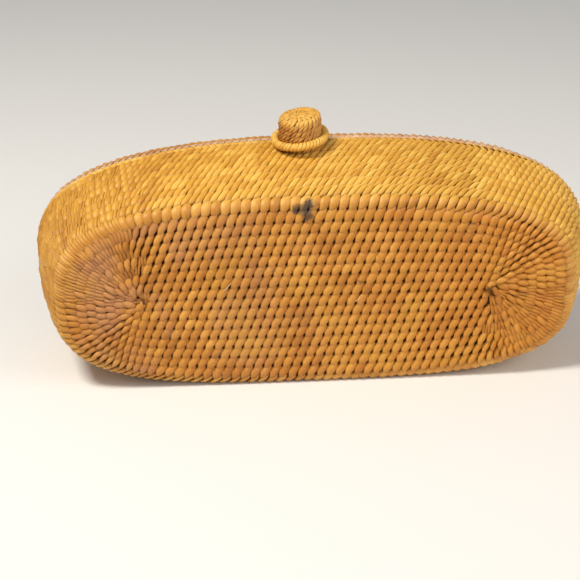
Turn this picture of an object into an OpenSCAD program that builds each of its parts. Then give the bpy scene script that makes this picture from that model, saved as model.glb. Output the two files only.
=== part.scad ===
// Clutch purse of coiled rattan: two oval halves hinged along the bottom,
// closed by a wrapped loop that goes round a knob on top.
// +X along the length, -Y towards the front face, +Z up. Millimetres.

/* [Case] */
// Length of the case at its mouth
mouth_l = 222; // [210:1:234]
// Height of the mouth, from the hinge side to the top
mouth_h = 84; // [78:1:90]
// Length of the front face, edge to edge
face_l = 202; // [190:1:208]
// Height of the front face
face_h = 78; // [72:1:80]
// Depth of the front half, from its face to the mouth
front_d = 43; // [38:1:50]
// Depth of the back half, from the mouth to its outside
back_d = 15; // [14:1:20]
// Thickness of the coiled wall
wall_t = 3.6; // [3:0.1:4.4]
// Depth of the rim coil on each half
rim_w = 4; // [3.6:0.1:4.6]
// Roundness of the case: exponent of the outline at the top of the mouth
mouth_n = 2.5; // [2.3:0.1:3]
// Roundness of the case: exponent of the outline at the top of the face
face_n = 3; // [2.6:0.1:3.4]

/* [Lining] */
// Thickness of the cloth lining
lining_t = 0.8; // [0.6:0.1:1.2]

/* [Knob and loop] */
// Diameter of the knob over its woven cover
knob_d = 16.7; // [15:0.1:17]
// Height of the knob above the case
knob_h = 13.6; // [11:0.1:16]
// Distance of the knob's axis in front of the mouth
knob_back = 8.6; // [8.6:0.1:10]
// Distance of the knob to the right of the middle
knob_x = -4; // [-6:0.5:6]
// Forward lean of the knob, in degrees
knob_tilt = 4; // [2:0.5:7]
// Thickness of the wrapped cord of the closure loop
loop_d = 3; // [2.4:0.1:3.2]
// Distance of the loop's lashing behind the mouth
loop_back = 3.5; // [3.2:0.1:3.8]
// Backward tilt of the loop, in degrees
loop_tilt = 1.5; // [0:0.5:4]
// Sideways tilt of the loop, right side up, in degrees
loop_roll = 6; // [0:0.5:8]

/* [Hinge] */
// Distance between neighbouring hinges
hinge_pitch = 42; // [34:1:48]
// Diameter of the rattan hinge pins
pin_d = 1.8; // [1.6:0.1:2]
// Length of each hinge pin
pin_l = 12; // [11:0.5:14]

/* [Hidden] */
$fn = 48;
N = 72;                                 // points round the case
y_face = -(front_d + back_d) / 2;       // outside of the front face
y_mouth = y_face + front_d;             // plane where the two halves meet
y_back = y_mouth + back_d;              // outside of the back
gap = 0.2;                              // from the mouth plane to each rim
eye_r = pin_d / 2 + 1.05;               // outside of a hinge eye
mouth_z = 2 * eye_r + 0.3;              // lowest point of the mouth
crease_r = 3.6;                         // rounding where the face turns into the side
rise_p = 1.8;                           // how early the side swells
low_n = 3.3;                            // roundness of the bottom corners

// half length, half height, centre height and top exponent at station u (0 face, 1 mouth)
function swell(u) = 1 - pow(1 - min(max(u, 0), 1), rise_p);
function lerp(a, b, t) = a + (b - a) * t;
function st(u) = let (s = swell(u)) [
    lerp(face_l / 2, mouth_l / 2, s),
    lerp(face_h / 2, mouth_h / 2, s),
    lerp(face_h / 2, mouth_z + mouth_h / 2, s),
    lerp(face_n, mouth_n, s)];
// one point of an outline, d inside it, at parameter angle t
function opt(s, d, t) = let (c = cos(t), q = sin(t), n = q >= 0 ? s[3] : low_n)
    [(s[0] - d) * sign(c) * pow(abs(c), 2 / n), s[2] + (s[1] - d) * sign(q) * pow(abs(q), 2 / n)];
function ring(s, d, y) = [for (i = [0:N - 1]) let (p = opt(s, d, 360 * i / N)) [p[0], y, p[1]]];
function u_of(y) = (y - y_face) / front_d;

// closed skin through a list of rings, capped flat at both ends
module loft(rings) {
    m = len(rings);
    pts = [for (r = rings) for (p = r) p];
    side = [for (k = [0:m - 2]) for (i = [0:N - 1]) let (j = (i + 1) % N)
        for (f = [[k * N + i, k * N + j, (k + 1) * N + j], [k * N + i, (k + 1) * N + j, (k + 1) * N + i]]) f];
    cap0 = [[for (i = [0:N - 1]) N - 1 - i]];
    cap1 = [[for (i = [0:N - 1]) (m - 1) * N + i]];
    polyhedron(points = pts, faces = concat(side, cap0, cap1), convexity = 8);
}
// closed band swept round the case through a loop of rings
module band(rings) {
    m = len(rings);
    pts = [for (r = rings) for (p = r) p];
    side = [for (k = [0:m - 1]) for (i = [0:N - 1]) let (j = (i + 1) % N, l = (k + 1) % m)
        for (f = [[k * N + i, k * N + j, l * N + j], [k * N + i, l * N + j, l * N + i]]) f];
    polyhedron(points = pts, faces = side, convexity = 8);
}

// front half: depth and inset of each outside ring, then the inside ones
y_fe = y_mouth - rim_w;                 // edge of the front shell, where its rim starts
front_out = concat(
    [for (q = [[0, crease_r], [0.35, 1.9], [1.1, 0.8], [2.2, 0.2]]) ring(st(0.02), q[1], y_face + q[0])],
    [for (y = [y_face + 3.6, y_face + 8, y_face + 14, y_face + 21, y_face + 29, y_fe]) ring(st(u_of(y)), 0, y)]);
function front_in(d, yf) = concat(
    [for (y = [y_fe, y_face + 29, y_face + 21, y_face + 14, y_face + 8]) ring(st(u_of(y)), d, y)],
    [ring(st(u_of(yf + 1)), d + 1.2, yf + 0.6), ring(st(0.05), d + 4, yf)]);

module front_shell() color("peru") {
    difference() {
        loft(concat(front_out, front_in(wall_t, y_face + wall_t)));
        knob_frame() translate([0, 0, -8]) cylinder(h = 16, r = 1.3);
    }
}
// rim coil: flat where it meets its shell, round elsewhere
function rim_ring(q, y0, k, s) = ring(s, q[0], y0 + k * q[1]);
rim_sec = [[1, 0], [2.6, 0], [wall_t + 0.1, 1.1], [wall_t + 0.1, rim_w - gap - 1.1], [2.6, rim_w - gap],
           [1, rim_w - gap], [-0.15, rim_w - gap - 1.1], [-0.15, 1.1]];
module front_rim() color("goldenrod")
    band([for (q = rim_sec) rim_ring(q, y_fe, 1, st(u_of(y_fe + q[1])))]);

// cloth skin just inside the front shell
lin_gap = 0.3;
module front_lining() color("wheat") {
    a = wall_t + lin_gap;
    b = a + lining_t;
    difference() {
        loft(concat(
            [for (q = [[0, 4], [0.6, 1.2]]) ring(q[0] == 0 ? st(0.05) : st(u_of(y_face + a + 1)), a + q[1] + 0.3, y_face + a + q[0])],
            [for (y = [y_face + 8, y_face + 14, y_face + 21, y_face + 29, y_fe]) ring(st(u_of(y)), a, y)],
            [for (y = [y_fe, y_face + 29, y_face + 21, y_face + 14, y_face + 8]) ring(st(u_of(y)), b, y)],
            [ring(st(u_of(y_face + b + 1)), b + 1.5, y_face + b + 0.6), ring(st(0.05), b + 4.3, y_face + b)]));
        knob_frame() translate([0, 0, -9]) cylinder(h = 16, r = 1.3);
    }
}

// back half: a shallow dish that falls away from its rim
y_be = y_mouth + rim_w;
back_prof = [[0, 0], [rim_w, 0.9], [7, 2.3], [9.6, 4.6], [11.8, 7.8], [13.5, 11.8], [14.5, 16.5], [15, 24]];
function back_rings(d, dy, cut) = [for (q = back_prof) if (q[0] >= cut)
    ring(st(1), q[1] + d, y_mouth + q[0] * back_d / 15 - dy * (q[0] > cut ? 1 : 0))];
function rev(l) = [for (i = [len(l) - 1:-1:0]) l[i]];
module back_shell() color("peru")
    loft(concat(
        rev(back_rings(0, 0, rim_w)),
        [ring(st(1), wall_t + 0.9, y_be)],
        [for (k = [2:len(back_prof) - 1]) let (q = back_prof[k]) ring(st(1), q[1] + wall_t * (1 - 0.75 * pow(q[0] / 15, 3)), y_mouth + q[0] * back_d / 15 - wall_t * pow(q[0] / 15, 1.2))]));
module back_rim() color("goldenrod")
    band(rev([for (q = rim_sec) ring(st(1), q[0] + 0.9 * (1 - q[1] / rim_w), y_be - q[1])]));
module back_lining() color("wheat") {
    a = wall_t + lin_gap;
    loft(concat(
        rev(concat([ring(st(1), a + 0.9, y_be)], [for (k = [2:len(back_prof) - 1]) let (q = back_prof[k]) ring(st(1), q[1] + a * (1 - 0.75 * pow(q[0] / 15, 3)), y_mouth + q[0] * back_d / 15 - a * pow(q[0] / 15, 1.2))])),
        [ring(st(1), a + lining_t + 0.9, y_be)],
        [for (k = [2:len(back_prof) - 1]) let (q = back_prof[k], c = a + lining_t) ring(st(1), q[1] + c * (1 - 0.75 * pow(q[0] / 15, 3)), y_mouth + q[0] * back_d / 15 - c * pow(q[0] / 15, 1.2))]));
}

// the knob stands square on the sloping top of the front half
y_knob = y_mouth - knob_back;
u_knob = u_of(y_knob);
z_top = st(u_knob)[2] + st(u_knob)[1];
top_slope = ((st(u_knob + 0.02)[2] + st(u_knob + 0.02)[1]) - z_top) / (0.02 * front_d);
z_knob = z_top + max(0, (top_slope - tan(knob_tilt)) * knob_d / 2);
module knob_frame() translate([knob_x, y_knob, z_knob]) rotate([knob_tilt, 0, 0]) children();
// the loop is nearly level: its front rests against the knob, its back bar passes over the rim of the back half
module loop_frame() translate([knob_x, y_knob, z_top]) rotate([loop_tilt, 0, 0]) children();
cover_t = 1.7;
tie_r = 1.15;
module knob_core() color("burlywood") knob_frame()
    difference() {
        translate([0, 0, 0.3]) cylinder(h = knob_h - cover_t - 0.5, r = knob_d / 2 - cover_t - 0.1);
        translate([0, 0, -1]) cylinder(h = knob_h + 2, r = tie_r + 0.1);
    }
module knob_cover() color("chocolate") knob_frame()
    rotate_extrude(convexity = 4) polygon([
        [knob_d / 2 - cover_t, 0.3], [knob_d / 2 - 0.5, 0.3], [knob_d / 2 - 0.25, 3], [knob_d / 2, 6],
        [knob_d / 2, knob_h - 2.4], [knob_d / 2 - 0.5, knob_h - 1], [knob_d / 2 - 1.7, knob_h - 0.2],
        [knob_d / 2 - 3.2, knob_h], [0, knob_h], [0, knob_h - cover_t], [knob_d / 2 - cover_t, knob_h - cover_t]]);
// cord that holds the knob: it is knotted inside the front half
module knob_tie() color("tan") knob_frame() {
    translate([0, 0, -wall_t - 2.4]) cylinder(h = knob_h + wall_t + 0.6, r = tie_r);
    translate([0, 0, -wall_t - 3.6]) sphere(r = 2.1);
}

// closure loop: a cord bent round the knob, wrapped all the way
loop_r = knob_d / 2 + 0.05 + loop_d / 2;
loop_z = loop_d / 2 + 2.4;
loop_len = loop_back + knob_back - loop_r;
module loop_solid(ro, ri) {
    module sec() translate([loop_r, 0]) difference() { circle(r = ro); if (ri > 0) circle(r = ri); }
    rotate([0, 0, 180]) rotate_extrude(angle = 180, convexity = 4) sec();
    translate([0, loop_len, 0]) rotate_extrude(angle = 180, convexity = 4) sec();
    for (s = [-1, 1]) translate([s * loop_r, 0, 0]) rotate([-90, 0, 0]) difference() {
        cylinder(h = loop_len, r = ro);
        if (ri > 0) translate([0, 0, -0.01]) cylinder(h = loop_len + 0.02, r = ri);
    }
}
core_r = loop_d / 2 - 0.55;
module closure_loop_core() color("saddlebrown") loop_frame() translate([0, 0, loop_z]) rotate([0, -loop_roll, 0]) loop_solid(core_r, 0);
module closure_loop_wrap() color("goldenrod") loop_frame() translate([0, 0, loop_z]) rotate([0, -loop_roll, 0]) loop_solid(loop_d / 2, core_r);

// lashing that ties the back of the loop to the rim of the back half
lash_w = 3;
lash_ri = loop_d / 2 + 0.25;
module loop_lashing() color("sienna") loop_frame() translate([0, loop_r + loop_len, loop_z]) rotate([0, 90, 0]) {
    difference() {
        union() {
            cylinder(h = lash_w, r = lash_ri + 0.8, center = true);
            translate([lash_ri + 1.5, 0, 0]) cube([4.6, 3, lash_w], center = true);
        }
        cylinder(h = lash_w + 1, r = lash_ri, center = true);
    }
}

// hinges: wrapped eyes on both rims, turning on short rattan pins under the mouth
hinge_x = [-hinge_pitch, 0, hinge_pitch];
eye_w = 3.2;
module eye(w, s, bore) {
    difference() {
        union() {
            rotate([0, 90, 0]) cylinder(h = w, r = eye_r, center = true);
            translate([-w / 2, s > 0 ? 0.35 : -2.6, 0]) cube([w, 2.25, eye_r + 2.2]);
        }
        rotate([0, 90, 0]) cylinder(h = w + 1, r = bore, center = true);
    }
}
module hinge_front_loops() color("sienna")
    for (x = hinge_x, s = [-1, 1]) translate([x + s * (eye_w + 0.25), y_mouth, eye_r]) eye(eye_w, -1, pin_d / 2 + 0.02);
module hinge_back_loops() color("chocolate")
    for (x = hinge_x) translate([x, y_mouth, eye_r]) eye(eye_w, 1, pin_d / 2 + 0.06);
module hinge_pins() color("saddlebrown")
    for (x = hinge_x) translate([x, y_mouth, eye_r]) rotate([0, 90, 0]) cylinder(h = pin_l, r = pin_d / 2, center = true);

front_shell();
front_rim();
front_lining();
knob_core();
knob_cover();
knob_tie();
back_shell();
back_rim();
back_lining();
closure_loop_core();
closure_loop_wrap();
loop_lashing();
hinge_front_loops();
hinge_back_loops();
hinge_pins();
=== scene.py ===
import math

import bpy
import numpy as np
from mathutils import Matrix, Vector


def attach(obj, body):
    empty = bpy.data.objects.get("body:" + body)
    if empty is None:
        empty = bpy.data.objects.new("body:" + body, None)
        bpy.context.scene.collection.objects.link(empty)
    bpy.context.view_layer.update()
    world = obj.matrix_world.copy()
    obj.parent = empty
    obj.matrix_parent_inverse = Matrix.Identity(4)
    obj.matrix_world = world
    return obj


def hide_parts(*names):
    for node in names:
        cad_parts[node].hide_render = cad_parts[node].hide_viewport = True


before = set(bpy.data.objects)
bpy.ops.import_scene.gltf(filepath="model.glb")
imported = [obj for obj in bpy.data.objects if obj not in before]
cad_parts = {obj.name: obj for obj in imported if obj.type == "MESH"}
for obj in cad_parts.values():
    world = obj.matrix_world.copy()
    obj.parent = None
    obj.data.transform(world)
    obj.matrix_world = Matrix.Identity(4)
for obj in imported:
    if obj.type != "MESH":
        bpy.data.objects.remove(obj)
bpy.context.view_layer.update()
RNG = np.random.default_rng(20)
MM = 0.001

# ------------------------------------------------------------------ camera
F_PX = 1600.0
CAM = dict(dist=624.0, elev=25.8, azim=2.3, roll=-1.1, tx=-10.5, ty=-29.0, tz=41.3)
e, a, r = (math.radians(CAM[k]) for k in ("elev", "azim", "roll"))
fwd = Vector((math.sin(a) * math.cos(e), math.cos(a) * math.cos(e), -math.sin(e)))
right = Vector((math.cos(a), -math.sin(a), 0))
up = right.cross(fwd)
right, up = math.cos(r) * right + math.sin(r) * up, -math.sin(r) * right + math.cos(r) * up
eye = Vector((CAM["tx"], CAM["ty"], CAM["tz"])) - CAM["dist"] * fwd
cam_data = bpy.data.cameras.new("camera")
cam_data.sensor_width = 36.0
cam_data.lens = F_PX / 580.0 * 36.0
cam_data.clip_start = 0.01
cam = bpy.data.objects.new("camera", cam_data)
m = Matrix.Identity(4)
for i in range(3):
    m[i][0], m[i][1], m[i][2], m[i][3] = right[i], up[i], -fwd[i], eye[i] * MM
cam.matrix_world = m
bpy.context.collection.objects.link(cam)
bpy.context.scene.camera = cam

# ------------------------------------------------------------------ the case's surface, as in the CAD model (mm)
FACE_L, FACE_H, MOUTH_L, MOUTH_H = 202.0, 78.0, 222.0, 84.0
FRONT_D, BACK_D, RIM_W = 43.0, 15.0, 4.0
Y_FACE = -29.0
Y_MOUTH = Y_FACE + FRONT_D
MOUTH_Z = 4.2
LOW_N, RISE_P = 3.3, 1.8
CREASE = 3.6


def station(u):
    s = 1 - (1 - np.clip(u, 0, 1)) ** RISE_P
    return (FACE_L / 2 + (MOUTH_L - FACE_L) / 2 * s, FACE_H / 2 + (MOUTH_H - FACE_H) / 2 * s,
            FACE_H / 2 + (MOUTH_Z + MOUTH_H / 2 - FACE_H / 2) * s, 3.0 - 0.5 * s)


def outline(st, inset, t):
    a_, h_, zc, n_up = st
    c, q = np.cos(t), np.sin(t)
    n = np.where(q >= 0, n_up, LOW_N)
    r_ = (np.abs(c) ** n + np.abs(q) ** n) ** (-1 / n)
    return (a_ - inset) * r_ * c, zc + (h_ - inset) * r_ * q


L0 = 68.0          # half the length of the start of the coil
KF, KC, KW = 8.0, 9.0, 17.0   # rows: end of the flat face, end of the rounded edge, start of the rim


def front(t, v):
    """A point of the front half's outside: t round the case, v rows out from the middle of the face."""
    t, v = np.broadcast_arrays(np.asarray(t, float), np.asarray(v, float))
    f = np.clip(v / KF, -0.3, 1)
    th = np.clip(v - KF, 0, 1) * math.pi / 2
    w = np.clip((v - KC) / (KW - KC), 0, 1.2)
    y = Y_FACE + CREASE * (1 - np.cos(th)) + w * (Y_MOUTH - RIM_W - Y_FACE - CREASE) - 0.55 * (1 - f ** 2)
    inset = CREASE * (1 - np.sin(th))
    x, z = outline(station((y - Y_FACE) / FRONT_D * (v > KF)), inset, t)
    bx = np.clip(x, -L0, L0)
    bz = FACE_H / 2
    x = np.where(v < KF, bx + (x - bx) * f, x)
    z = np.where(v < KF, bz + (z - bz) * f, z)
    return np.stack([x, y, z], -1)


PROF = np.array([[24, 15], [16.5, 14.5], [11.8, 13.5], [7.8, 11.8], [4.6, 9.6], [2.3, 7], [0.9, 4.0]], float)
PROF_S = np.concatenate([[0], np.cumsum(np.hypot(*np.diff(PROF, axis=0).T))])
KB, KR = 4.0, 10.0


def back(t, v):
    """A point of the back half's outside."""
    t, v = np.broadcast_arrays(np.asarray(t, float), np.asarray(v, float))
    f = np.clip(v / KB, -0.3, 1)
    s = np.clip((v - KB) / (KR - KB), 0, 1.1) * PROF_S[-1]
    inset = np.interp(s, PROF_S, PROF[:, 0]) - np.clip(s - PROF_S[-1], 0, 9) * 0.2
    y = Y_MOUTH + np.interp(s, PROF_S, PROF[:, 1]) - np.clip(s - PROF_S[-1], 0, 9) + 0.3 * (1 - f ** 2)
    x, z = outline(station(1.0), inset, t)
    bx = np.clip(x, -62, 62)
    bz = MOUTH_Z + MOUTH_H / 2
    x = np.where(v < KB, bx + (x - bx) * f, x)
    z = np.where(v < KB, bz + (z - bz) * f, z)
    return np.stack([x, y, z], -1)


def unit(q):
    return q / np.maximum(np.linalg.norm(q, axis=-1, keepdims=True), 1e-9)


def frames(surf, t, v, turn):
    """Position, forward, outward and normal of a surface at (t, v). turn is the way the coil runs."""
    d = 1e-3
    p = surf(t, v)
    T = unit((surf(t + d, v) - surf(t - d, v)) * turn)
    O = unit(surf(t, v + 0.02) - surf(t, v - 0.02))
    U = unit(np.cross(T, O))
    O = unit(np.cross(U, T))
    return p, T, O, U


# ------------------------------------------------------------------ meshes
def make_object(name, verts_mm, loops, starts, body, material, smooth=True, attrs=None):
    me = bpy.data.meshes.new(name)
    me.vertices.add(len(verts_mm))
    me.vertices.foreach_set("co", (np.asarray(verts_mm, np.float32) * MM).ravel())
    me.loops.add(len(loops))
    me.loops.foreach_set("vertex_index", np.asarray(loops, np.int32))
    me.polygons.add(len(starts))
    me.polygons.foreach_set("loop_start", np.asarray(starts, np.int32))
    me.update(calc_edges=True)
    me.polygons.foreach_set("use_smooth", np.full(len(starts), smooth))
    for k, val in (attrs or {}).items():
        val = np.asarray(val, np.float32)
        kind = "FLOAT" if val.ndim == 1 else "FLOAT_VECTOR"
        at = me.attributes.new(k, kind, "POINT")
        at.data.foreach_set("value" if val.ndim == 1 else "vector", val.ravel())
    me.validate()
    me.materials.append(material)
    ob = bpy.data.objects.new(name, me)
    bpy.context.collection.objects.link(ob)
    if body:
        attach(ob, body)
    return ob


NB, NA = 8, 10      # rings along a strip, points round it


class Strips:
    """Collects strips of split rattan: each is a closed flattened tube laid on a surface."""

    def __init__(self):
        self.v, self.at, self.tone, self.painted_light = [], [], [], []

    def add(self, surf, turn, t, v, w, ln, lean, slant, crown, sink, thick, tone, curl=0.0, arch=0.8, taper=0.16, roll=0.0, peak=0.0):
        """Arrays, one value per strip. w width mm, ln length in rows, lean mm of forward shift over that length,
        slant mm of slope of both ends, crown and sink mm over and under the surface."""
        n = len(t)
        arr = lambda q: np.broadcast_to(np.asarray(q, float), (n,))[:, None, None]
        t, v, w, ln, lean, slant, crown, sink, thick, curl = map(arr, (t, v, w, ln, lean, slant, crown, sink, thick, curl))
        b = np.sin(np.linspace(-1, 1, NB) * math.pi / 2 * 0.92) / math.sin(math.pi / 2 * 0.92)
        b = b[None, :, None]
        ps = (np.arange(NA) * 2 * math.pi / NA)[None, None, :]
        ca, sa = np.cos(ps), np.sin(ps)
        aa = np.sign(ca) * np.abs(ca) ** 0.8
        mid = frames(surf, t[:, :, 0], v[:, :, 0], turn)
        tx, oz = mid[1][:, :, None, 0], mid[2][:, :, None, 2]
        pk = peak * tx
        q_ = (aa + pk) / np.where(aa > -pk, 1 + pk, 1 - pk)
        cc = np.where(sa > 0, 1 - np.abs(q_) ** 1.7, -np.abs(sa) ** 0.85)
        cc = np.where(np.abs(sa) < 1e-6, 0.0, cc)
        vv = v + b * ln / 2
        p, T, O, U = frames(surf, np.broadcast_to(t, vv.shape), vv, turn)
        fw = aa * w / 2 * (1 - taper * np.abs(b) ** 3) + lean * b / 2 + curl * (b ** 2 - 0.4)
        ow = slant / 2 * aa
        hump = np.maximum(np.cos(b * math.pi / 2), 0) ** arch
        up_ = -sink + (sink + crown) * hump + thick * np.where(cc > 0, cc, cc * 1.2) * (1 - 0.25 * np.abs(b) ** 2) - roll * tx * aa * (1 - b ** 2)
        P = p + fw[..., None] * T + ow[..., None] * O + up_[..., None] * U
        self.v.append(P.reshape(n, -1, 3))
        # the third value is 1 on the strip's top side and 0 on its underside, which the material paints darker as
        # painted shade
        at = np.stack(np.broadcast_arrays(aa, b, np.where(cc > 0, 1.0, 0.0) + 0 * b), -1)
        self.at.append(np.broadcast_to(at, (n, NB, NA, 3)).reshape(n, -1, 3))
        self.tone.append(np.repeat(np.broadcast_to(np.asarray(tone, float), (n,))[:, None], NB * NA, 1))
        # painted light: each strip is painted lighter on its left side and towards its upper end and darker opposite, a
        # painted highlight and painted shade
        painted_light = 0.10 * -aa * tx + 0.07 * b * oz
        self.painted_light.append(np.broadcast_to(painted_light, (n, NB, NA)).reshape(n, -1))

    def build(self, name, body, material, slot):
        v = np.concatenate(self.v)
        n = len(v)
        k = np.arange(NB - 1)[:, None]
        i = np.arange(NA)[None, :]
        j = (i + 1) % NA
        quad = np.stack([k * NA + i + 0 * j, k * NA + j, (k + 1) * NA + j, (k + 1) * NA + i + 0 * j], -1).reshape(-1)
        cap0 = np.arange(NA)[::-1]
        cap1 = (NB - 1) * NA + np.arange(NA)
        one = np.concatenate([quad, cap0, cap1])
        st1 = np.concatenate([np.arange(0, len(quad), 4), [len(quad), len(quad) + NA]])
        loops = (one[None] + np.arange(n)[:, None] * NB * NA).ravel()
        starts = (st1[None] + np.arange(n)[:, None] * len(one)).ravel()
        # outside of the tube faces outwards
        ob = make_object(name, v.reshape(-1, 3), loops, starts, body, material,
                         attrs={"strip": np.concatenate(self.at).reshape(-1, 3), "tone": np.concatenate(self.tone).ravel(),
                                "painted_light": np.concatenate(self.painted_light).ravel()})
        print(name, n, "strips", n * (len(quad) // 2 + 2 * (NA - 2)), "triangles")
        return ob


def smooth(x, lo, hi):
    q = np.clip((x - lo) / (hi - lo), 0, 1)
    return q * q * (3 - 2 * q)


def row_places(surf, v, turn, pitch, end_pitch, phase, straight):
    """Places round a row: t, local pitch. Even steps on the straight part, others round the ends."""
    t = np.linspace(math.pi / 2, math.pi / 2 + turn * 2 * math.pi, 2881)
    p = surf(t, v)
    s = np.concatenate([[0], np.cumsum(np.linalg.norm(np.diff(p, axis=0), axis=1))])
    xm = np.abs((p[1:, 0] + p[:-1, 0]) / 2)
    k = smooth(xm, straight - 6, straight + 10)
    dens = (1 - k) / pitch + k / end_pitch
    nn = np.concatenate([[0], np.cumsum(dens * np.diff(s))])
    total = nn[-1]
    # the straight part keeps its own steps: only the ends take up the rounding to an even number
    want = 2 * max(round(total / 2), 3)
    end_share = np.concatenate([[0], np.cumsum(k * dens * np.diff(s))])
    if end_share[-1] > 0.5:
        nn = nn + end_share / end_share[-1] * (want - total)
    else:
        nn = nn / total * want
    at = (np.arange(want) + (phase % 1.0))
    tt = np.interp(at, nn, t)
    nn3 = np.concatenate([nn[:-1] - want, nn, nn[1:] + want])
    s3 = np.concatenate([s[:-1] - s[-1], s, s[1:] + s[-1]])
    lo, hi = np.interp(at - 0.5, nn3, s3), np.interp(at + 0.5, nn3, s3)
    return tt, np.maximum(hi - lo, 0.5)


# ------------------------------------------------------------------ materials
def nodes_of(name):
    mat = bpy.data.materials.new(name)
    mat.use_nodes = True
    nt = mat.node_tree
    return mat, nt, nt.nodes["Principled BSDF"]


def add(nt, kind, **kw):
    n = nt.nodes.new(kind)
    for k, val in kw.items():
        setattr(n, k, val)
    return n


def ramp(nt, fac, stops, interp="LINEAR"):
    n = add(nt, "ShaderNodeValToRGB")
    n.color_ramp.interpolation = interp
    el = n.color_ramp.elements
    while len(el) < len(stops):
        el.new(0.5)
    for q, (pos, col) in zip(el, stops):
        q.position = pos
        q.color = (*col, 1) if len(col) == 3 else col
    nt.links.new(fac, n.inputs[0])
    return n.outputs[0]


def noise(nt, vec, scale, detail=2.0, rough=0.5):
    n = add(nt, "ShaderNodeTexNoise")
    n.inputs["Scale"].default_value = scale
    n.inputs["Detail"].default_value = detail
    n.inputs["Roughness"].default_value = rough
    if vec is not None:
        nt.links.new(vec, n.inputs["Vector"])
    return n.outputs[0]


def math_node(nt, op, x, y=None):
    n = add(nt, "ShaderNodeMath", operation=op)
    for i, q in enumerate((x, y)):
        if q is None:
            continue
        if isinstance(q, (int, float)):
            n.inputs[i].default_value = q
        else:
            nt.links.new(q, n.inputs[i])
    return n.outputs[0]


def mix(nt, fac, c1, c2, mode="MIX"):
    n = add(nt, "ShaderNodeMix", data_type="RGBA", blend_type=mode)
    for i, q in ((0, fac), (6, c1), (7, c2)):
        if isinstance(q, (int, float)):
            n.inputs[i].default_value = q
        elif isinstance(q, tuple):
            n.inputs[i].default_value = (*q, 1)
        else:
            nt.links.new(q, n.inputs[i])
    return n.outputs[2]


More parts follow.
